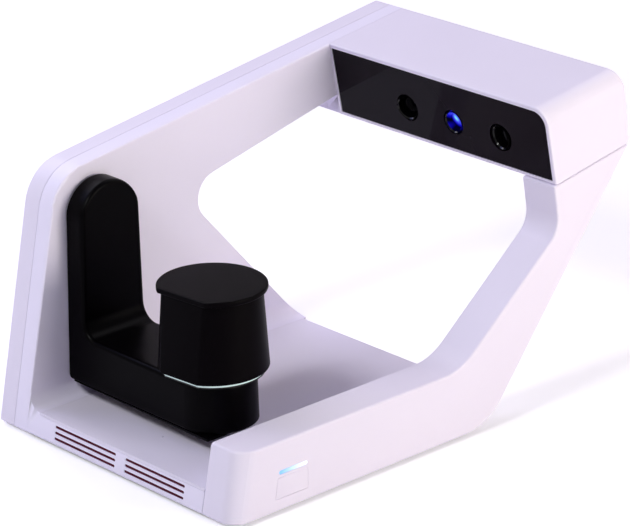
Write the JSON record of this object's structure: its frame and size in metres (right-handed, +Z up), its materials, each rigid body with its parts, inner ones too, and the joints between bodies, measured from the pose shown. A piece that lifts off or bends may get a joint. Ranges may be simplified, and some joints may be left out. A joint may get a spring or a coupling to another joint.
{
  "type": "dental lab scanner",
  "caption": "Desktop dental scanner: an open ribbon frame with a pitched camera head, a swing arm and a motor turntable that carries the model.",
  "frame": {"origin": "middle of the footprint's bounding box, on the standing surface", "axes": "+X from the solid left wall to the right flank, +Y from the open front to the camera head, +Z up"},
  "size_m": [0.245, 0.3734, 0.229],
  "materials": {
    "shell_white": "satin",
    "floor_grey_white": "satin",
    "arm_black": "satin",
    "dark_glass": "gloss",
    "black_sheet": "matt",
    "barrel_black": "black anodised",
    "camera_lens": "polished",
    "projector_lens": "polished, lit blue",
    "optic_body": "satin",
    "status_light": "lit diffuser",
    "light_ring": "lit diffuser",
    "switch_black": "satin",
    "socket_steel": "plain",
    "circuit_board": "solder mask",
    "bottom_sheet": "matt",
    "foot_rubber": "matt",
    "shaft_steel": "ground",
    "motor_steel": "plain",
    "gearbox_alloy": "cast"
  },
  "bodies": {
    "base": {"left_outer_cover": "shell_white", "left_inner_shell": "shell_white", "floor_panel": "floor_grey_white", "bottom_plate": "bottom_sheet", "main_board": "circuit_board", "foot_1": "foot_rubber", "foot_2": "foot_rubber", "foot_3": "foot_rubber", "foot_4": "foot_rubber", "right_arm_shell": "shell_white", "right_arm_panel": "shell_white", "light_bar": "status_light", "power_switch": "switch_black", "usb_port": "socket_steel", "power_jack": "switch_black", "head_cover": "shell_white", "glass_panel": "dark_glass", "optics_bracket": "black_sheet", "camera_left_barrel": "barrel_black", "camera_right_barrel": "barrel_black", "projector_barrel": "barrel_black", "camera_left_lens": "camera_lens", "camera_right_lens": "camera_lens", "projector_lens": "projector_lens", "camera_left_body": "optic_body", "camera_right_body": "optic_body", "projector_body": "optic_body", "swing_gearbox": "gearbox_alloy", "swing_motor": "motor_steel"},
    "swing_arm": {"arm_housing": "arm_black", "arm_back_plate": "arm_black", "arm_bottom_plate": "arm_black", "swing_shaft": "shaft_steel", "turntable_motor": "motor_steel"},
    "turntable": {"turntable_hub": "shaft_steel", "light_ring": "light_ring", "model_cup": "arm_black", "model_plate": "arm_black"},
    "button": {"power_button": "shell_white"}
  },
  "joints": [
    {"name": "arm_swing", "type": "hinge", "parent": "base", "child": "swing_arm", "pos_m": [-0.0902, -0.12041, 0.149], "axis": [1, 0, 0], "range_deg": [-95, 35]},
    {"name": "turntable_spin", "type": "hinge", "parent": "swing_arm", "child": "turntable", "pos_m": [0.0305, -0.12041, 0.0671], "axis": [0, 0, 1], "continuous": true},
    {"name": "button_press", "type": "slide", "parent": "base", "child": "button", "axis": [-1, 0, 0], "range_m": [0, 0.0012], "stiffness_N_per_m": 500, "springref_m": -0.001}
  ]
}
